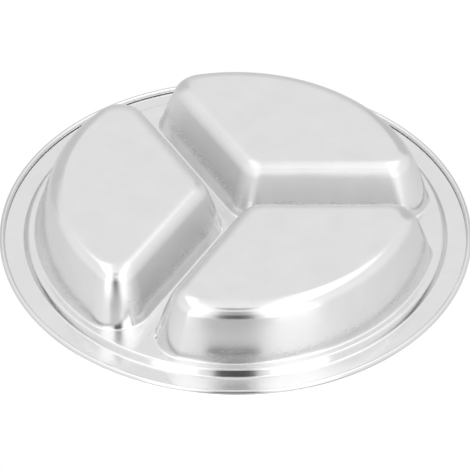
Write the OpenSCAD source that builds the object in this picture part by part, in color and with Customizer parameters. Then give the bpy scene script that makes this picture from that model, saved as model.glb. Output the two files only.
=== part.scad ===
// Divided compartment plate: a round stainless plate with three deep pans, the webs that
// divide them, a stepped flange and a rolled rim. The plate stands on its three pan floors.

/* [Plate] */
// Diameter over the rolled rim
plate_d = 260; // [220:1:300]
// Height from the underside of the pan floors to the top of the flange
plate_h = 35.5; // [28:0.5:45]
// Thickness of the stainless sheet
sheet_t = 0.6; // [0.4:0.1:1]

/* [Rim] */
// Outside diameter of the rolled edge
roll_d = 3; // [2.6:0.1:5]
// How far round the edge is rolled, in degrees
roll_turn = 288; // [240:6:300]
// Width of the flat flange, from the step to the middle of the rolled edge
flange_w = 11.4; // [6:0.1:20]
// Rise of the step, from the ledge up to the flange
step_rise = 3.9; // [2:0.1:6]
// Slope of the step, in degrees from level
step_slope = 63; // [35:1:70]
// Inside radius of the two bends of the step
step_bend_r = 1.1; // [0.3:0.1:1.6]
// Width of the flat ledge between the step and the pans
ledge_w = 2.4; // [1:0.1:8]

/* [Pans] */
// Flat width of the web between two pans
web_w = 6.4; // [2:0.1:12]
// Draft of the bowed pan walls where they leave the floor bend, in degrees from upright
floor_draft = 20.5; // [10:0.5:28]
// Draft of the pan walls where they reach the mouth, in degrees from upright
mouth_draft = 11.5; // [4:0.5:24]
// Radius under the soft start of the bend between floor and wall
shoulder_r = 14.5; // [10:0.5:20]
// How far the soft start turns, in degrees
shoulder_turn = 20; // [5:1:35]
// Radius under the rest of that bend
floor_bend_r = 8.7; // [4:0.1:10]
// Radius under the bend between wall and web
mouth_bend_r = 1.3; // [0.8:0.1:4]
// Radius of the three corners of each flat floor
floor_corner_r = 7.5; // [3:0.5:14]
// Radius of the three corners of each pan's mouth
mouth_corner_r = 20; // [12:0.5:30]

/* [Hidden] */
$fn = 180;

// Directions of the pans round the plate; the webs lie half way between them
left_pan_dir = 180;
rear_pan_dir = 60;
front_pan_dir = 300;
web_angle = 60;
side_dir = web_angle + 90;

// Facets along the curves of a pan's outline and of the sheet's bends
hub_corner_steps = 8;
rim_corner_steps = 12;
outer_arc_steps = 24;
shoulder_steps = 2;
floor_bend_steps = 5;
bow_steps = 3;
mouth_bend_steps = 4;
step_bend_steps = 4;
roll_steps = 16;

// Step: the sheet bends up by the slope and back to level
step_mid_r = step_bend_r + sheet_t / 2;
step_straight = (step_rise - 2 * step_mid_r * (1 - cos(step_slope))) / sin(step_slope);
step_run = 2 * step_mid_r * sin(step_slope) + step_straight * cos(step_slope);

// Radii of the rim's form lines, from outside to inside
roll_r = roll_d / 2;
roll_ring_r = plate_d / 2 - roll_r;
flange_in_r = roll_ring_r - flange_w;
ledge_out_r = flange_in_r - step_run;
mouth_r = ledge_out_r - ledge_w;

// Heights of the underside of the flange and of the web
flange_z = plate_h - sheet_t;
web_z = flange_z - step_rise;

// Wall: middle of the floor bend, then rise and run of that bend, of the bow above it, whose
// lean changes evenly with height, and of the whole wall from the flat floor out to the mouth
bend_mid = [0, shoulder_r] + on_circle(shoulder_r - floor_bend_r, shoulder_turn - 90);
bend_rise = bend_mid.y - floor_bend_r * sin(floor_draft);
bend_run = bend_mid.x + floor_bend_r * cos(floor_draft);
bow_rise = web_z - bend_rise - mouth_bend_r * (1 - sin(mouth_draft));
bow_run = bow_rise * (tan(floor_draft) + tan(mouth_draft)) / 2;
wall_run = bend_run + bow_run + mouth_bend_r * cos(mouth_draft);

// Half the web, at the mouth and at the flat floor
mouth_side = web_w / 2;
floor_side = mouth_side + wall_run;
floor_r = mouth_r - wall_run;

function mix(from, to, share) = from + (to - from) * share;
function on_circle(r, a) = r * [cos(a), sin(a)];
function turned(p, a) = [p.x * cos(a) - p.y * sin(a), p.x * sin(a) + p.y * cos(a)];
function reversed(list) = [for (i = [len(list) - 1:-1:0]) list[i]];

// Points of an arc, ends included
function arc(centre, r, from, to, steps) =
    [for (i = [0:steps]) centre + on_circle(r, mix(from, to, i / steps))];

// Outline of a pan, clockwise: three round corners, two straight sides and an outer arc.
// It grows from the flat floor's edge at share 0 to the mouth at share 1.
function outline(share, dir) =
    let (
        corner_r = mix(floor_corner_r, mouth_corner_r, share),
        outer_r = mix(floor_r, mouth_r, share),
        corner_side = mix(floor_side, mouth_side, share) + corner_r,
        corner_reach = outer_r - corner_r,
        corner_along = sqrt(corner_reach * corner_reach - corner_side * corner_side),
        hub = [corner_side / sin(web_angle), 0],
        rim = turned([corner_along, -corner_side], web_angle),
        rim_mirrored = [rim.x, -rim.y],
        rim_dir = atan2(rim.y, rim.x),
        outer = arc([0, 0], outer_r, rim_dir, -rim_dir, outer_arc_steps),
        points = concat(
            arc(hub, corner_r, 360 - side_dir, side_dir, hub_corner_steps),
            arc(rim, corner_r, side_dir, rim_dir, rim_corner_steps),
            [for (i = [1:outer_arc_steps - 1]) outer[i]],
            arc(rim_mirrored, corner_r, -rim_dir, -side_dir, rim_corner_steps)
        )
    )
    [for (p = points) turned(p, dir)];

// Point of the floor bend at a share of its turn, set in from the underside
function floor_bend(share, inset) =
    bend_mid + on_circle(floor_bend_r - inset, mix(shoulder_turn - 90, -floor_draft, share));

// Point of the wall's bow at a share of its rise, set in from the underside
function bow(share, inset) =
    let (
        lean = mix(tan(floor_draft), tan(mouth_draft), share),
        draft = atan(lean)
    )
    [
        bend_run + bow_rise * share * (tan(floor_draft) + lean) / 2 - inset * cos(draft),
        bend_rise + bow_rise * share + inset * sin(draft)
    ];

// Cross-section of one face of the pan's wall, as [run from the floor's edge, height]:
// inset 0 gives the underside, inset sheet_t the upper side
function wall_section(inset) = concat(
    arc([0, shoulder_r], shoulder_r - inset, -90, shoulder_turn - 90, shoulder_steps),
    [for (i = [1:floor_bend_steps]) floor_bend(i / floor_bend_steps, inset)],
    [for (i = [1:bow_steps - 1]) bow(i / bow_steps, inset)],
    arc([wall_run, web_z - mouth_bend_r], mouth_bend_r + inset, 180 - mouth_draft, 90, mouth_bend_steps)
);

// One pan: its section carried round its outline, and closed by the flat floor
module pan(dir) {
    section = concat(wall_section(0), reversed(wall_section(sheet_t)));
    rings = [for (s = section) [for (p = outline(s[0] / wall_run, dir)) [p.x, p.y, s[1]]]];
    count = len(rings[0]);
    last = len(rings) - 1;
    points = [for (ring = rings) each ring];
    floor_under = [for (i = [0:count - 1]) i];
    floor_upper = [for (i = [count - 1:-1:0]) last * count + i];
    walls = [
        for (k = [0:last - 1], i = [0:count - 1])
            let (
                a = k * count + i,
                b = k * count + (i + 1) % count,
                c = b + count,
                d = a + count
            )
            each [[a, d, c], [a, c, b]]
    ];
    polyhedron(points, concat([floor_upper, floor_under], walls));
}

module left_pan() {
    color("silver")
        pan(left_pan_dir);
}

module rear_pan() {
    color("lightsteelblue")
        pan(rear_pan_dir);
}

module front_pan() {
    color("slategray")
        pan(front_pan_dir);
}

// Level sheet between the pan mouths: the three webs, their hub and the ledge round the pans
module divider_web() {
    color("gainsboro")
        translate([0, 0, web_z])
            linear_extrude(sheet_t)
                difference() {
                    circle(ledge_out_r);
                    polygon(outline(1, left_pan_dir));
                    polygon(outline(1, rear_pan_dir));
                    polygon(outline(1, front_pan_dir));
                }
}

// Cross-section of one face of the step and flange, as [radius, height]
function flange_section(inset) = concat(
    arc(
        [ledge_out_r, web_z + sheet_t + step_bend_r], step_bend_r + sheet_t - inset,
        -90, step_slope - 90, step_bend_steps
    ),
    arc(
        [flange_in_r, flange_z - step_bend_r], step_bend_r + inset,
        90 + step_slope, 90, step_bend_steps
    ),
    [[roll_ring_r, flange_z + inset]]
);

// Step up from the ledge, and the flat flange outside it
module stepped_flange() {
    color("lightgray")
        rotate_extrude()
            polygon(concat(flange_section(0), reversed(flange_section(sheet_t))));
}

// Cross-section of one face of the rolled edge, from the flange out and round
function roll_section(inset) =
    arc([roll_ring_r, plate_h - roll_r], roll_r - inset, 90, 90 - roll_turn, roll_steps);

// Edge of the sheet, rolled out, under and up again towards the flange
module rolled_rim() {
    color("whitesmoke")
        rotate_extrude()
            polygon(concat(roll_section(0), reversed(roll_section(sheet_t))));
}

left_pan();
rear_pan();
front_pan();
divider_web();
stepped_flange();
rolled_rim();
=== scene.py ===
import math

import bpy
import numpy as np
from mathutils import Matrix, Vector


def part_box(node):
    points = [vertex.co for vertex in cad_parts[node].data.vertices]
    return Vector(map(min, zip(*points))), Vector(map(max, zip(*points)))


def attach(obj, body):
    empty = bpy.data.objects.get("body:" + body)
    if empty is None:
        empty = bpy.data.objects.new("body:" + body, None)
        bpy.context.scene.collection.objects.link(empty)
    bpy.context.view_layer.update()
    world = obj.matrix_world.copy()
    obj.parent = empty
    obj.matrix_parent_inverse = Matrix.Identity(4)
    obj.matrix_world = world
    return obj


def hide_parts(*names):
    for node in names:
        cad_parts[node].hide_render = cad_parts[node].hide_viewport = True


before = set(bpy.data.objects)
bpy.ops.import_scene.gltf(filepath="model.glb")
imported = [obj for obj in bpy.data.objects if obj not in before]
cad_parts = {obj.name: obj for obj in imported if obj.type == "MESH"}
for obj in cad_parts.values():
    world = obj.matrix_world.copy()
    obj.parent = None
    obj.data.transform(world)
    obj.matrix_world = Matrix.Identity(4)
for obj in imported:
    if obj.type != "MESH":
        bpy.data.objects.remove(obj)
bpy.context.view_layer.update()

# Pans
# Three deep pans, drawn by a punch into one disc of stainless sheet: a flat floor, a round bend,
# a drafted wall, and a second bend that lays the sheet over into the web between the pans.
MM = 0.001
BODY = "root"
PAN_HEADINGS = {"left_pan": math.pi, "rear_pan": math.pi / 3, "front_pan": -math.pi / 3}
WEB_ANGLE = math.pi / 3
SIDE_NORMAL = WEB_ANGLE + math.pi / 2

floor_draft = math.radians(20.5)
mouth_draft = math.radians(11.5)
shoulder_r = 14.5 * MM
shoulder_turn = math.radians(20)
floor_bend_r = 8.7 * MM
mouth_bend_r = 1.3 * MM
floor_corner_r = 7.5 * MM
mouth_corner_r = 20 * MM

web_low, web_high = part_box("divider_web")
left_low, left_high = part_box("left_pan")
web_z = web_low.z
sheet_t = web_high.z - web_low.z
mouth_r = -left_low.x
mouth_side = (mouth_corner_r - left_high.x) * math.sin(WEB_ANGLE) - mouth_corner_r

bend_mid_run = (shoulder_r - floor_bend_r) * math.sin(shoulder_turn)
bend_mid_rise = shoulder_r - (shoulder_r - floor_bend_r) * math.cos(shoulder_turn)
bend_rise = bend_mid_rise - floor_bend_r * math.sin(floor_draft)
bow_rise = web_z - bend_rise - mouth_bend_r * (1 - math.sin(mouth_draft))
bend_run = bend_mid_run + floor_bend_r * math.cos(floor_draft)
bow_run = bow_rise * (math.tan(floor_draft) + math.tan(mouth_draft)) / 2
wall_run = bend_run + bow_run + mouth_bend_r * math.cos(mouth_draft)
floor_r = mouth_r - wall_run
floor_side = mouth_side + wall_run

HUB_STEPS = 36
SIDE_STEPS = 28
RIM_STEPS = 44
OUTER_STEPS = 128
SHOULDER_STEPS = 6
FLOOR_BEND_STEPS = 20
WALL_STEPS = 12
MOUTH_BEND_STEPS = 16
FLOOR_RINGS = 8

# How the draw roughens a wall: a wall faces the webs where its outward normal's share along the
# pan's heading is under WEB_SIDE, and faces the rim where it is over RIM_SIDE
WEB_SIDE = 0.3
LEAST_STRETCH = 0.15
RIM_SIDE = 0.5
SCUFF_EDGE = 3
SCUFF_DEPTH = 0.45


def run_even(start, end, steps, last=False):
    """Values that run evenly from start to end along a new last axis, with or without the end."""
    way = np.linspace(0, 1, steps + last, endpoint=last)
    start, end = np.asarray(start, float), np.asarray(end, float)
    return start[..., None] + (end - start)[..., None] * way


def pan_outline(share):
    """Outlines of a pan that points along X, one row per share, and the outward normals there.

    Each point is a centre plus a radius along a normal. At a corner the centre stays and the
    normal turns; along a side the normal stays and the centre moves from corner to corner; on
    the outer arc the centre is the plate's axis. Radii and the sides' distance from the middle
    of the webs run evenly with share, from the flat floor's edge at 0 to the mouth at 1.
    """
    share = np.asarray(share, float)
    none = np.zeros_like(share)
    corner = floor_corner_r + (mouth_corner_r - floor_corner_r) * share
    outer = floor_r + (mouth_r - floor_r) * share
    side = floor_side + (mouth_side - floor_side) * share + corner
    along = np.sqrt((outer - corner) ** 2 - side ** 2)
    hub = np.stack([side / math.sin(WEB_ANGLE), none])
    rim = np.stack([along * math.cos(WEB_ANGLE) + side * math.sin(WEB_ANGLE),
                    along * math.sin(WEB_ANGLE) - side * math.cos(WEB_ANGLE)])
    rim_mirrored = np.stack([rim[0], -rim[1]])
    axis = np.stack([none, none])
    rim_turn = np.arctan2(rim[1], rim[0])
    side_turn = none + SIDE_NORMAL
    stretches = [
        (HUB_STEPS, hub, hub, corner, math.tau - side_turn, side_turn),
        (SIDE_STEPS, hub, rim, corner, side_turn, side_turn),
        (RIM_STEPS, rim, rim, corner, side_turn, rim_turn),
        (OUTER_STEPS, axis, axis, outer, rim_turn, -rim_turn),
        (RIM_STEPS, rim_mirrored, rim_mirrored, corner, -rim_turn, -side_turn),
        (SIDE_STEPS, rim_mirrored, hub, corner, -side_turn, -side_turn),
    ]
    centre = np.concatenate([run_even(start, end, n) for n, start, end, _, _, _ in stretches], -1)
    radius = np.concatenate([run_even(r, r, n) for n, _, _, r, _, _ in stretches], -1)
    turn = np.concatenate([run_even(start, end, n) for n, _, _, _, start, end in stretches], -1)
    normals = np.stack([np.cos(turn), np.sin(turn)], -1)
    return np.moveaxis(centre, 0, -1) + radius[..., None] * normals, normals


def wall_section(inset):
    """A pan's wall from the floor's edge to the mouth, inset into the sheet from its underside: run,
    height and the angle of the tangent. Two arcs, wide and then tight, bend up off the floor, a bow
    whose lean runs evenly from the floor's draft to the mouth's stands on them, and a last arc lays
    over into the web."""
    soft = run_even(0, shoulder_turn, SHOULDER_STEPS)
    bend = run_even(shoulder_turn, math.pi / 2 - floor_draft, FLOOR_BEND_STEPS)
    way = run_even(0, 1, WALL_STEPS)
    lean = run_even(math.tan(floor_draft), math.tan(mouth_draft), WALL_STEPS)
    lip = run_even(math.pi / 2 - mouth_draft, 0, MOUTH_BEND_STEPS, last=True)
    tangent = np.concatenate([soft, bend, math.pi / 2 - np.arctan(lean), lip])
    run = np.concatenate([
        shoulder_r * np.sin(soft), bend_mid_run + floor_bend_r * np.sin(bend),
        bend_run + bow_rise * way * (lean[0] + lean) / 2, wall_run - mouth_bend_r * np.sin(lip)])
    height = np.concatenate([
        shoulder_r * (1 - np.cos(soft)), bend_mid_rise - floor_bend_r * np.cos(bend),
        bend_rise + bow_rise * way, web_z - mouth_bend_r * (1 - np.cos(lip))])
    return run - inset * np.sin(tangent), height + inset * np.cos(tangent), tangent


def at_height(flat, height):
    """Lifts outlines to their heights, one height per row."""
    lift = np.broadcast_to(np.reshape(height, (-1, 1, 1)), flat[..., :1].shape)
    return np.concatenate([flat, lift], -1)


def wall_face(inset):
    """Rings of one face of a pan's wall, and the normals of the underside there.

    The section is carried round the outline: its run picks the outline and its height lifts it.
    The normal is square to the outline and to the climb of the surface, and the climb is steeper
    where the outline grows by less than the run.
    """
    run, height, tangent = wall_section(inset)
    share = run / wall_run
    nudge = 1e-4
    ring, out = pan_outline(share)
    growth = (pan_outline(share + nudge)[0] - pan_outline(share - nudge)[0]) / (2 * nudge * wall_run)
    down = -np.cos(tangent)[:, None] * (growth * out).sum(-1)
    normals = np.concatenate([np.sin(tangent)[:, None, None] * out, down[..., None]], -1)
    return at_height(ring, height), normals / np.linalg.norm(normals, axis=-1, keepdims=True)


def floor_face(height):
    """Rings of a flat floor inside its edge, and its middle: the edge's outline, drawn in evenly."""
    edge = pan_outline([0.0])[0][0]
    middle = edge.mean(0)
    draw_in = run_even(0, 1, FLOOR_RINGS)[1:, None, None]
    return at_height(middle + (edge - middle) * draw_in, height), np.array([[*middle, height]])


def turned(points, heading):
    """Points or normals, turned about the plate's upright axis."""
    c, s = math.cos(heading), math.sin(heading)
    return points @ np.array([[c, s, 0], [-s, c, 0], [0, 0, 1]])


def ring_faces(rows, columns, start=0, closed=False):
    """Quads between each ring of a stack and the next, all the way round, as point numbers, with
    the last ring joined to the first where the stack is closed. Rings run clockwise."""
    row, column = np.meshgrid(np.arange(rows - 1 + closed), np.arange(columns), indexing="ij")
    here = start + row * columns
    above = start + (row + 1) % rows * columns
    beside = (column + 1) % columns
    return np.stack([here + column, above + column, above + beside, here + beside], -1).reshape(-1, 4)


def sheet_piece(name, points, faces, normals, cut, drawn=None, mouth=None):
    """A piece of the sheet: its points and faces, the true normals of its surfaces at the points,
    and which of its faces are cut edges, which are flat. A drawn wall also says how much the draw
    roughened each point, and over which point of the mouth it slid."""
    mesh = bpy.data.meshes.new(name)
    mesh.from_pydata(points, [], faces)
    corners = np.empty(len(mesh.loops), int)
    mesh.loops.foreach_get("vertex_index", corners)
    sides = np.empty(len(faces), int)
    mesh.polygons.foreach_get("loop_total", sides)
    flat = np.empty(3 * len(faces))
    mesh.polygons.foreach_get("normal", flat)
    is_cut = np.repeat(cut, sides)[:, None]
    corner_normals = np.where(is_cut, np.repeat(flat.reshape(-1, 3), sides, axis=0), normals[corners])
    if drawn is not None:
        mesh.attributes.new("drawn", "FLOAT", "POINT").data.foreach_set("value", drawn)
        mesh.attributes.new("mouth", "FLOAT_VECTOR", "POINT").data.foreach_set("vector", mouth.ravel())
    mesh.polygons.foreach_set("use_smooth", np.ones(len(faces), bool))
    mesh.normals_split_custom_set(corner_normals)
    mesh.materials.append(steel)
    piece = bpy.data.objects.new(name, mesh)
    bpy.context.scene.collection.objects.link(piece)
    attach(piece, BODY)
    return piece


def linear(hex_colour):
    """Turns an sRGB hex colour into linear RGBA."""
    srgb = np.array([int(hex_colour[i:i + 2], 16) for i in (1, 3, 5)]) / 255
    rgb = np.where(srgb <= 0.04045, srgb / 12.92, ((srgb + 0.055) / 1.055) ** 2.4)
    return (*rgb.tolist(), 1.0)


def add(tree, kind, inputs=None, **settings):
    """Adds a node with its settings; an input is a value, or a socket to link from."""
    made = tree.nodes.new(kind)
    for name, value in settings.items():
        setattr(made, name, value)
    for name, value in (inputs or {}).items():
        if isinstance(value, bpy.types.NodeSocket):
            tree.links.new(value, made.inputs[name])
        else:
            made.inputs[name].default_value = value
    return made


def satin_stainless():
    """Cold-rolled stainless sheet, drawn and then buffed: a bright satin that blurs reflections by
    a few degrees. Buffing leaves it cloudy and a little wavy, rolling leaves a fine grain and a few
    thin scratches along the sheet, and the die leaves upright marks on the walls it drew."""
    made = bpy.data.materials.new("satin_stainless")
    made.use_nodes = True
    tree = made.node_tree
    tree.nodes.clear()
    place = add(tree, "ShaderNodeTexCoord").outputs["Object"]
    drawn = add(tree, "ShaderNodeAttribute", attribute_name="drawn").outputs["Fac"]
    mouth = add(tree, "ShaderNodeAttribute", attribute_name="mouth").outputs["Vector"]

    cloud_size = 20 * MM
    cloud = add(tree, "ShaderNodeTexNoise", {
        "Vector": place, "Scale": 1 / cloud_size, "Detail": 4.0, "Roughness": 0.55}).outputs["Fac"]
    colour = add(tree, "ShaderNodeValToRGB", {"Fac": cloud})
    colour.color_ramp.elements[0].position = 0.35
    colour.color_ramp.elements[0].color = linear("#EAEAEA")
    colour.color_ramp.elements[1].position = 0.65
    colour.color_ramp.elements[1].color = linear("#EEEEEE")

    # Real grain, scratches and draw marks are finer; these are as wide as they need to be to show
    grain_long = 30 * MM
    grain_wide = 0.5 * MM
    grain = add(tree, "ShaderNodeVectorMath", {
        0: place, 1: (1 / grain_long, 1 / grain_wide, 1 / grain_wide)}, operation="MULTIPLY")
    grain = add(tree, "ShaderNodeTexNoise", {
        "Vector": grain.outputs[0], "Scale": 1.0, "Detail": 2.0}).outputs["Fac"]
    scratch_long = 45 * MM
    scratch_wide = 1.2 * MM
    scratch = add(tree, "ShaderNodeVectorMath", {
        0: place, 1: (1 / scratch_long, 1 / scratch_wide, 1 / scratch_wide)}, operation="MULTIPLY")
    scratch = add(tree, "ShaderNodeVectorRotate", {
        "Vector": scratch.outputs[0], "Angle": math.radians(7)}, rotation_type="Z_AXIS")
    scratch = add(tree, "ShaderNodeTexNoise", {
        "Vector": scratch.outputs[0], "Scale": 1.0, "Detail": 0.0}).outputs["Fac"]
    scratch = add(tree, "ShaderNodeMapRange", {
        "Value": scratch, "From Min": 0.70, "From Max": 0.74,
        "To Min": 0.0, "To Max": 0.03}).outputs["Result"]
    mark_wide = 0.9 * MM
    mark = add(tree, "ShaderNodeTexNoise", {
        "Vector": mouth, "Scale": 1 / mark_wide, "Detail": 2.0}).outputs["Fac"]

    buffed = add(tree, "ShaderNodeMapRange", {
        "Value": cloud, "From Min": 0.3, "From Max": 0.7,
        "To Min": 0.12, "To Max": 0.16}).outputs["Result"]
    rolled = add(tree, "ShaderNodeMath", {
        0: grain, 1: 0.03, 2: buffed}, operation="MULTIPLY_ADD").outputs[0]
    scratched = add(tree, "ShaderNodeMath", {0: rolled, 1: scratch}, operation="ADD").outputs[0]
    stretch = add(tree, "ShaderNodeMapRange", {
        "Value": mark, "From Min": 0.3, "From Max": 0.7,
        "To Min": 0.33, "To Max": 0.37}).outputs["Result"]
    roughness = add(tree, "ShaderNodeMath", {
        0: drawn, 1: stretch, 2: scratched}, operation="MULTIPLY_ADD").outputs[0]

    wave_size = 22 * MM
    wave_height = 0.018 * MM
    wave = add(tree, "ShaderNodeTexNoise", {
        "Vector": place, "Scale": 1 / wave_size, "Detail": 1.0}).outputs["Fac"]
    bump = add(tree, "ShaderNodeBump", {"Height": wave, "Strength": 1.0, "Distance": wave_height})
    shader = add(tree, "ShaderNodeBsdfPrincipled", {
        "Base Color": colour.outputs["Color"], "Metallic": 1.0, "Roughness": roughness,
        "Normal": bump.outputs["Normal"]})
    add(tree, "ShaderNodeOutputMaterial", {"Surface": shader.outputs["BSDF"]})
    return made


def drawn_share():
    """How much the draw roughened the sheet, by ring and point of a pan's underside. The sides that
    face the webs stretched, by the sine of their slope and most near the floor. The outer wall was
    scuffed by the die, by the same sine and the square of the height."""
    _, height, tangent = wall_section(0)
    flat = np.zeros(FLOOR_RINGS - 1)
    rise = np.concatenate([flat, height / web_z])
    slope = np.concatenate([flat, np.sin(tangent)])
    facing = pan_outline([1.0])[1][0, :, 0]
    stretched = np.outer(slope * (1 - rise), np.clip(WEB_SIDE - facing, LEAST_STRETCH, 1))
    scuffed = np.outer(slope * rise ** 2, np.clip(SCUFF_EDGE * (facing - RIM_SIDE), 0, 1))
    return stretched + SCUFF_DEPTH * scuffed


def pan(name, heading):
    """One pan, from the middle of its floor's underside out and up to the mouth, and over the
    sheet's edge back down the upper side to the middle of the floor."""
    under, under_normals = wall_face(0)
    upper, upper_normals = wall_face(sheet_t)
    under_floor, under_middle = floor_face(0)
    upper_floor, upper_middle = floor_face(sheet_t)
    rings = np.concatenate([under_floor, under, upper[::-1], upper_floor[::-1]])
    rows, columns = rings.shape[:2]
    level = np.broadcast_to([0.0, 0.0, 1.0], under_floor.shape)
    normals = np.concatenate([-level, under_normals, -upper_normals[::-1], level])
    points = np.concatenate([under_middle, rings.reshape(-1, 3), upper_middle])
    normals = np.concatenate([[[0, 0, -1]], normals.reshape(-1, 3), [[0, 0, 1]]])

    here = np.arange(columns)
    beside = (here + 1) % columns
    first = 1
    last = first + (rows - 1) * columns
    pole = last + columns
    under_fan = np.stack([0 * here, first + here, first + beside], -1)
    upper_fan = np.stack([0 * here + pole, last + beside, last + here], -1)
    walls = ring_faces(rows, columns, first)
    at_mouth = np.arange(len(walls)) // columns == rows // 2 - 1
    cut = np.concatenate([np.zeros(columns, bool), at_mouth, np.zeros(columns, bool)])

    drawn = drawn_share()
    drawn = np.concatenate([[0], drawn.ravel(), drawn[::-1].ravel(), [0]])
    mouth = np.tile(at_height(pan_outline([1.0])[0], web_z)[0], (rows, 1))
    mouth = turned(np.concatenate([under_middle, mouth, upper_middle]), heading)
    faces = [*under_fan.tolist(), *walls.tolist(), *upper_fan.tolist()]
    piece = sheet_piece(
        name + "_sheet", turned(points, heading), faces, turned(normals, heading), cut, drawn, mouth)
    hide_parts(name)


steel = satin_stainless()
for pan_name, pan_heading in PAN_HEADINGS.items():
    pan(pan_name, pan_heading)

# Divider web
# The level sheet left between the pan mouths: three webs that meet in a hub, and the ledge round
# the pans. It was held flat under the press ring while the punches drew the pans.
WEB_ROWS = 4
SAME_POINT = MM / 1000
ledge_out_r = -web_low.x


def web_sector():
    """The third of the web round a pan that points along X, as flat rings from the pan's mouth to
    the sector's border. A side's points go square out to the middle of their web, the hub corner's
    spread along both webs to the hub, a rim corner's along its web to the ledge and on round the
    ledge, and the outer arc's straight out. The lower half of the border mirrors the upper."""
    mouth = pan_outline([1.0])[0][0]
    web_way = np.array([math.cos(WEB_ANGLE), math.sin(WEB_ANGLE)])
    rim_start = HUB_STEPS + SIDE_STEPS
    outer_start = rim_start + RIM_STEPS
    beside_pan = mouth[HUB_STEPS:rim_start + 1] @ web_way
    outer_turn = math.atan2(mouth[outer_start, 1], mouth[outer_start, 0])
    half_hub, half_rim, half_outer = HUB_STEPS // 2, RIM_STEPS // 2, OUTER_STEPS // 2
    on_web = np.concatenate([
        run_even(0, beside_pan[0], half_hub), beside_pan[:-1],
        run_even(beside_pan[-1], ledge_out_r, half_rim)])
    on_ledge = np.concatenate([
        run_even(WEB_ANGLE, outer_turn, RIM_STEPS - half_rim),
        run_even(outer_turn, 0, half_outer, last=True)])
    upper = np.concatenate([
        on_web[:, None] * web_way, ledge_out_r * np.stack([np.cos(on_ledge), np.sin(on_ledge)], -1)])
    border = np.roll(np.concatenate([upper, upper[-2:0:-1] * [1, -1]]), half_hub, axis=0)
    return mouth + (border - mouth) * run_even(0, 1, WEB_ROWS - 1, last=True)[:, None, None]


def divider_web():
    """Three sectors of web, each closed at the pan's mouth and round the ledge, and joined to its
    neighbours along the middle of the webs."""
    sector = web_sector()
    rows, columns = sector.shape[:2]
    shell = np.concatenate([at_height(sector, web_z), at_height(sector[::-1], web_z + sheet_t)])
    quads = ring_faces(2 * rows, columns, closed=True)
    on_ledge = np.linalg.norm(sector[-1], axis=-1) > ledge_out_r - SAME_POINT
    strip = np.arange(len(quads)) // columns
    column = np.arange(len(quads)) % columns
    inside = (strip == rows - 1) & ~(on_ledge & np.roll(on_ledge, -1))[column]
    quads, strip = quads[~inside], strip[~inside]
    count = 2 * rows * columns
    shell = shell.reshape(-1, 3)
    points = np.concatenate([turned(shell, heading) for heading in PAN_HEADINGS.values()])
    faces = np.concatenate([quads + count * k for k in range(len(PAN_HEADINGS))])
    cut = np.tile((strip == rows - 1) | (strip == 2 * rows - 1), len(PAN_HEADINGS))
    _, first, number = np.unique(
        np.round(points / SAME_POINT), axis=0, return_index=True, return_inverse=True)
    points = points[first]
    faces = number.reshape(-1)[faces]
    up = np.where(points[:, 2] > web_z + sheet_t / 2, 1.0, -1.0)
    normals = np.stack([0 * up, 0 * up, up], -1)
    piece = sheet_piece("divider_web_sheet", points, faces.tolist(), normals, cut)
    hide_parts("divider_web")


divider_web()

# Stepped flange
# The band outside the pans: the sheet steps up off the ledge and runs out level to the rim. The
# step stiffens the plate and lets a lid sit down on the ledge.
RIM_COLUMNS = 540
step_slope = math.radians(63)
step_bend_r = 1.1 * MM
STEP_BEND_STEPS = 10
STEP_STRAIGHT_STEPS = 3
FLANGE_STEPS = 8
flange_low, flange_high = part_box("stepped_flange")
plate_top = flange_high.z
flange_z = plate_top - sheet_t
flange_out_r = -flange_low.x
step_mid_r = step_bend_r + sheet_t / 2
step_rise = flange_z - web_z
step_straight = (step_rise - 2 * step_mid_r * (1 - math.cos(step_slope))) / math.sin(step_slope)
step_run = 2 * step_mid_r * math.sin(step_slope) + step_straight * math.cos(step_slope)
flange_in_r = ledge_out_r + step_run


def double_bend(low, low_r, high, high_r, slope, low_steps, straight_steps, high_steps):
    """Section that bends up from level to a slope, runs straight and bends back to level: run,
    height and the angle of the tangent. The first arc hangs below its centre low by its radius,
    turned by the tangent's angle; the second stands above its centre high in the same way."""
    rising = run_even(0, slope, low_steps, last=True)
    falling = run_even(slope, 0, high_steps, last=True)
    first = np.stack([low[0] + low_r * np.sin(rising), low[1] - low_r * np.cos(rising)])
    second = np.stack([high[0] - high_r * np.sin(falling), high[1] + high_r * np.cos(falling)])
    straight = run_even(first[:, -1], second[:, 0], straight_steps)[:, 1:]
    run, height = np.concatenate([first, straight, second], -1)
    tangent = np.concatenate([rising, np.full(straight_steps - 1, slope), falling])
    return run, height, tangent


def flange_section(inset):
    """One face of the step and the flange, as radius, height and the angle of the tangent."""
    run, height, tangent = double_bend(
        (ledge_out_r, web_z + sheet_t + step_bend_r), step_bend_r + sheet_t - inset,
        (flange_in_r, flange_z - step_bend_r), step_bend_r + inset,
        step_slope, STEP_BEND_STEPS, STEP_STRAIGHT_STEPS, STEP_BEND_STEPS)
    out = run_even(flange_in_r, flange_out_r, FLANGE_STEPS, last=True)[1:]
    return (np.concatenate([run, out]), np.concatenate([height, 0 * out + flange_z + inset]),
            np.concatenate([tangent, 0 * out]))


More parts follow.
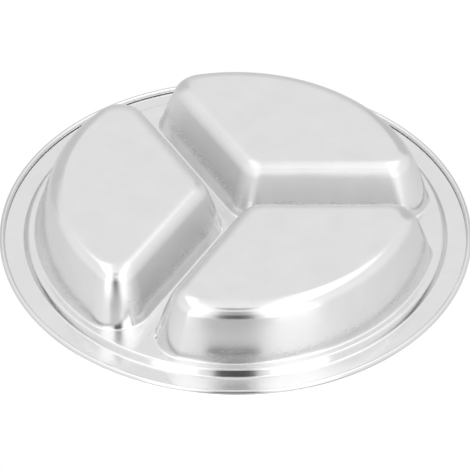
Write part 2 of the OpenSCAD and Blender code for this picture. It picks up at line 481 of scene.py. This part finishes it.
def turned_ring(name, under, upper):
    """A ring of sheet: the closed section of two faces, each with radius, height and tangent,
    turned about the plate's axis."""
    radius, height, tangent = np.concatenate([np.stack(under), np.stack(upper)[:, ::-1]], -1)
    side = np.where(np.arange(len(radius)) < len(under[0]), 1.0, -1.0)
    turn = run_even(math.tau, 0, RIM_COLUMNS)
    c, s = np.cos(turn), np.sin(turn)
    points = np.stack([radius[:, None] * c, radius[:, None] * s, height[:, None] + 0 * c], -1)
    out = side * np.sin(tangent)
    down = -side * np.cos(tangent)
    normals = np.stack([out[:, None] * c, out[:, None] * s, down[:, None] + 0 * c], -1)
    quads = ring_faces(len(radius), RIM_COLUMNS, closed=True)
    strip = np.arange(len(quads)) // RIM_COLUMNS
    cut = (strip == len(under[0]) - 1) | (strip == len(radius) - 1)
    points, normals = points.reshape(-1, 3), normals.reshape(-1, 3)
    piece = sheet_piece(name + "_sheet", points, quads.tolist(), normals, cut)
    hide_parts(name)


turned_ring("stepped_flange", flange_section(0), flange_section(sheet_t))

# Rolled rim
# The raw edge of the disc, rolled outwards and down into a hollow bead, so that no sharp edge is
# left to the hand and the rim stays round. The roll stops just short of the flange.
roll_low, roll_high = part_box("rolled_rim")
roll_r = (roll_high.z - roll_low.z) / 2
roll_turn = math.radians(288)
ROLL_STEPS = 48


def roll_section(inset):
    """One face of the roll: an arc about the roll's middle that starts at its top, level, and turns
    outwards and down, so that its tangent turns with it."""
    turn = run_even(0, roll_turn, ROLL_STEPS, last=True)
    r = roll_r - inset
    return flange_out_r + r * np.sin(turn), plate_top - roll_r + r * np.cos(turn), -turn


turned_ring("rolled_rim", roll_section(sheet_t), roll_section(0))

# Floor
# A pale studio floor under the plate. The photograph looks at the underside of the plate, from
# below this floor, so the floor is clear to a ray that comes up through it, on its way back too.
FLOOR_HALF = 6.0
FLOOR_DROP = 0.3 * MM
SWEEP_START = 0.2
SWEEP_END = 1.6
WHITE = (1.0, 1.0, 1.0, 1.0)


def pale_floor():
    """Matt pale paper that brightens to the white of the room some way off, and is clear when seen
    from below."""
    made = bpy.data.materials.new("pale_floor")
    made.use_nodes = True
    tree = made.node_tree
    tree.nodes.clear()
    paper = add(tree, "ShaderNodeBsdfDiffuse", {"Color": linear("#F2F2F2")})
    sweep = add(tree, "ShaderNodeEmission", {"Color": WHITE, "Strength": 1.0})
    place = add(tree, "ShaderNodeTexCoord").outputs["Object"]
    reach = add(tree, "ShaderNodeVectorMath", {0: place}, operation="LENGTH").outputs["Value"]
    far = add(tree, "ShaderNodeMapRange", {
        "Value": reach, "From Min": SWEEP_START, "From Max": SWEEP_END, "To Min": 0.0, "To Max": 1.0},
        interpolation_type="SMOOTHSTEP").outputs["Result"]
    paper = add(tree, "ShaderNodeMixShader", {0: far, 1: paper.outputs[0], 2: sweep.outputs[0]})
    clear = add(tree, "ShaderNodeBsdfTransparent")
    behind = add(tree, "ShaderNodeNewGeometry").outputs["Backfacing"]
    came_through = add(tree, "ShaderNodeLightPath").outputs["Transparent Depth"]
    open_to = add(tree, "ShaderNodeMath", {
        0: behind, 1: came_through}, operation="MAXIMUM", use_clamp=True).outputs[0]
    both = add(tree, "ShaderNodeMixShader", {0: open_to, 1: paper.outputs[0], 2: clear.outputs[0]})
    add(tree, "ShaderNodeOutputMaterial", {"Surface": both.outputs[0]})
    return made


def level_sheet(name, half_x, half_y, material):
    """A flat rectangle about its own middle, facing up its Z axis."""
    mesh = bpy.data.meshes.new(name)
    corner = np.array([[-1, -1, 0], [1, -1, 0], [1, 1, 0], [-1, 1, 0]]) * [half_x, half_y, 0]
    mesh.from_pydata(corner.tolist(), [], [[0, 1, 2, 3]])
    mesh.materials.append(material)
    made = bpy.data.objects.new(name, mesh)
    bpy.context.scene.collection.objects.link(made)
    return made


floor = level_sheet("floor", FLOOR_HALF, FLOOR_HALF, pale_floor())
floor.location.z = -FLOOR_DROP

# Studio light
# Softboxes of white cloth: two tall ones beside the camera and two flat ones overhead. The plate
# was photographed lying on its rim, bottom up, so the photograph's room is turned over here and
# what stood above the plate hangs below it. One more lamp lights the open pans, on the other side.
LAMP_UP = (math.pi, 0, 0)


def in_room(x, y, z):
    """A point of the photographed room, in metres right, away and up from the middle of the rim's
    resting plane, turned over into the plate's frame."""
    return Vector((x, -y, plate_top - z))


def softbox(name, place, width, height, glow, aim=None):
    """A rectangular lamp that faces its aim, or straight up without one. Its power is pi times its
    area times glow, so that glow is the brightness that a mirror would show of it."""
    lamp = bpy.data.lights.new(name, "AREA")
    lamp.shape = "RECTANGLE"
    lamp.size = width
    lamp.size_y = height
    lamp.energy = glow * math.pi * width * height
    made = bpy.data.objects.new(name, lamp)
    made.location = place
    made.rotation_euler = LAMP_UP
    if aim is not None:
        made.rotation_euler = (aim - place).to_track_quat("-Z", "Y").to_euler()
    made.visible_camera = False
    bpy.context.scene.collection.objects.link(made)


softbox("right_softbox", in_room(0.40, -0.71, 0.67), 0.38, 1.30, 0.70, in_room(0.02, 0, 0.67))
softbox("left_softbox", in_room(-0.37, -0.72, 0.67), 0.30, 1.30, 0.48, in_room(0, 0, 0.67))
softbox("overhead_right", in_room(0.32, 0.06, 1.0), 0.37, 1.12, 0.50)
softbox("overhead_left", in_room(-0.32, 0.06, 1.0), 0.37, 1.12, 0.42)
softbox("key_above", Vector((-0.25, -0.3, 1.7)), 1.0, 1.0, 2.4, Vector((0, 0, 0)))

# White room
# The painted room round the set. The camera sees it pure white; the steel mirrors its greys:
# walls, a paler ceiling, and the table, which is paler beside the lamps and dark before the camera,
# where the camera's shade is painted.
ROOM_FILL = 0.5
WALL_AWAY = 0.69
WALL_NEAR = 0.92
CEILING_GAIN = 0.16
DUSK_SHARE = 0.5
# Where each starts and is whole, as the sine of the height over level in the plate's frame
CEILING_REACH = (-0.15, -0.65)
TABLE_REACH = (-0.06, 0.02)
DUSK_REACH = (0.60, 0.95)
# Patches of the table: heading from straight away, half width, both in degrees, and gain
# The last patch, dark straight before the camera, is the camera's painted shade on the table
TABLE_PATCHES = ((149, 16, 0.17), (-153, 16, 0.05), (-178, 19, -0.27))
PATCH_CORE = 0.4

world = bpy.data.worlds.new("white_room")
bpy.context.scene.world = world
world.use_nodes = True
room = world.node_tree
room.nodes.clear()
path = add(room, "ShaderNodeLightPath").outputs
seen = add(room, "ShaderNodeMath", {
    0: path["Is Camera Ray"], 1: path["Is Glossy Ray"]}, operation="MAXIMUM")
seen = add(room, "ShaderNodeMath", {
    0: seen.outputs[0], 1: path["Is Transmission Ray"]}, operation="MAXIMUM")
direction = add(room, "ShaderNodeTexCoord").outputs["Generated"]
reach = add(room, "ShaderNodeSeparateXYZ", {0: direction}).outputs
walls = add(room, "ShaderNodeMapRange", {
    "Value": reach["Y"], "From Min": -1.0, "From Max": 1.0, "To Min": WALL_AWAY, "To Max": WALL_NEAR})
ceiling = add(room, "ShaderNodeMapRange", {
    "Value": reach["Z"], "From Min": CEILING_REACH[0], "From Max": CEILING_REACH[1],
    "To Min": 0.0, "To Max": CEILING_GAIN}, interpolation_type="SMOOTHSTEP")
table = add(room, "ShaderNodeMapRange", {
    "Value": reach["Z"], "From Min": TABLE_REACH[0], "From Max": TABLE_REACH[1],
    "To Min": 0.0, "To Max": 1.0})
glow = add(room, "ShaderNodeMath", {
    0: walls.outputs["Result"], 1: ceiling.outputs["Result"]}, operation="ADD")
level = add(room, "ShaderNodeCombineXYZ", {"X": reach["X"], "Y": reach["Y"]})
level = add(room, "ShaderNodeVectorMath", {0: level.outputs[0]}, operation="NORMALIZE")
for heading, half_width, gain in TABLE_PATCHES:
    turn, spread = math.radians(heading), math.radians(half_width)
    middle = in_room(math.sin(turn), math.cos(turn), plate_top)
    near = add(room, "ShaderNodeVectorMath", {
        0: level.outputs[0], 1: middle}, operation="DOT_PRODUCT")
    patch = add(room, "ShaderNodeMapRange", {
        "Value": near.outputs["Value"], "From Min": math.cos(spread),
        "From Max": math.cos(PATCH_CORE * spread), "To Min": 0.0, "To Max": gain},
        interpolation_type="SMOOTHSTEP")
    glow = add(room, "ShaderNodeMath", {
        0: patch.outputs["Result"], 1: table.outputs["Result"], 2: glow.outputs[0]},
        operation="MULTIPLY_ADD")
dusk = add(room, "ShaderNodeMapRange", {
    "Value": reach["Z"], "From Min": DUSK_REACH[0], "From Max": DUSK_REACH[1],
    "To Min": 1.0, "To Max": DUSK_SHARE}, interpolation_type="SMOOTHSTEP")
glow = add(room, "ShaderNodeMath", {
    0: glow.outputs[0], 1: dusk.outputs["Result"]}, operation="MULTIPLY")
glow = add(room, "ShaderNodeMath", {
    0: glow.outputs[0], 1: path["Is Camera Ray"]}, operation="MAXIMUM")
strength = add(room, "ShaderNodeMix", {"Factor": seen.outputs[0], "A": ROOM_FILL, "B": glow.outputs[0]})
white = add(room, "ShaderNodeBackground", {"Color": WHITE, "Strength": strength.outputs["Result"]})
add(room, "ShaderNodeOutputWorld", {"Surface": white.outputs["Background"]})

# Cards
# The dull things round the set that only the bright steel shows, as cards that glow with the light
# they have here: the camera and its stand, the screen over them, the edge of the table, two grey
# panels behind the plate and the boom overhead; and a small dark card on the table in front, a painted
# shadow.
UPRIGHT = (math.pi / 2, 0, 0)
LYING = (0, 0, 0)


def dull_or_shadow_card(glow):
    """Card that glows with the even brightness that a matt card has in this light: painted light, and
    painted shadow where it stands for shade.
    """
    made = bpy.data.materials.new("dull_or_shadow_card")
    made.use_nodes = True
    tree = made.node_tree
    tree.nodes.clear()
    dull = add(tree, "ShaderNodeEmission", {"Color": WHITE, "Strength": glow})
    add(tree, "ShaderNodeOutputMaterial", {"Surface": dull.outputs[0]})
    return made


def card(name, place, half_width, half_height, glow, turn=UPRIGHT):
    """A flat card about its place, which mirrors show, and which the camera, matt surfaces and
    shadows don't."""
    made = level_sheet(name, half_width, half_height, dull_or_shadow_card(glow))
    made.location = place
    made.rotation_euler = turn
    made.visible_camera = False
    made.visible_diffuse = False
    made.visible_shadow = False


card("camera_card", in_room(0, -0.69, 0.225), 0.115, 0.165, 0.05)
card("upper_card", in_room(0, -0.7, 0.66), 0.12, 0.34, 0.34)
card("table_edge", in_room(0, -0.695, -0.002), 0.25, 0.014, 0.28)
card("back_left", in_room(-0.75, 1.0, 0.40), 0.45, 0.42, 0.63)
card("back_right", in_room(0.55, 1.0, 0.40), 0.25, 0.42, 0.62)
card("boom", in_room(0, -0.35, 0.99), 0.10, 0.15, 0.34, LYING)
# A dark card lying on the table just outside the rim: a painted shadow of the plate there, which the
# near wall's foot mirrors
card("painted_front_shadow", in_room(-0.002, -0.150, 0), 0.024, 0.012, 0.10, LYING)

# Camera
# A long lens, as far off as the photograph's perspective says, that looks down on the upturned
# plate: here it stands below the plate and looks up, with its top towards the floor.
SENSOR = 36.0
IMAGE_SIDE = 470
FOCAL_PIXELS = 3808.5
CAMERA_DISTANCE = 2.1
CAMERA_HEIGHT_ANGLE = math.radians(41.355)
AIM_RIGHT = -0.3 * MM
AIM_AWAY = -1.6 * MM

lens = bpy.data.cameras.new("camera")
lens.sensor_width = SENSOR
lens.lens = SENSOR * FOCAL_PIXELS / IMAGE_SIDE
lens.clip_start = 0.05
lens.clip_end = 100
camera = bpy.data.objects.new("camera", lens)
bpy.context.scene.collection.objects.link(camera)
bpy.context.scene.camera = camera
aim = in_room(AIM_RIGHT, AIM_AWAY, 0)
camera_away = -CAMERA_DISTANCE * math.cos(CAMERA_HEIGHT_ANGLE)
camera_up = CAMERA_DISTANCE * math.sin(CAMERA_HEIGHT_ANGLE)
camera.location = in_room(0, camera_away, camera_up)
back = (camera.location - aim).normalized()
right = Vector((0, 0, -1)).cross(back).normalized()
camera.rotation_euler = Matrix((right, back.cross(right), back)).transposed().to_euler()

bpy.context.scene.view_settings.view_transform = "Standard"
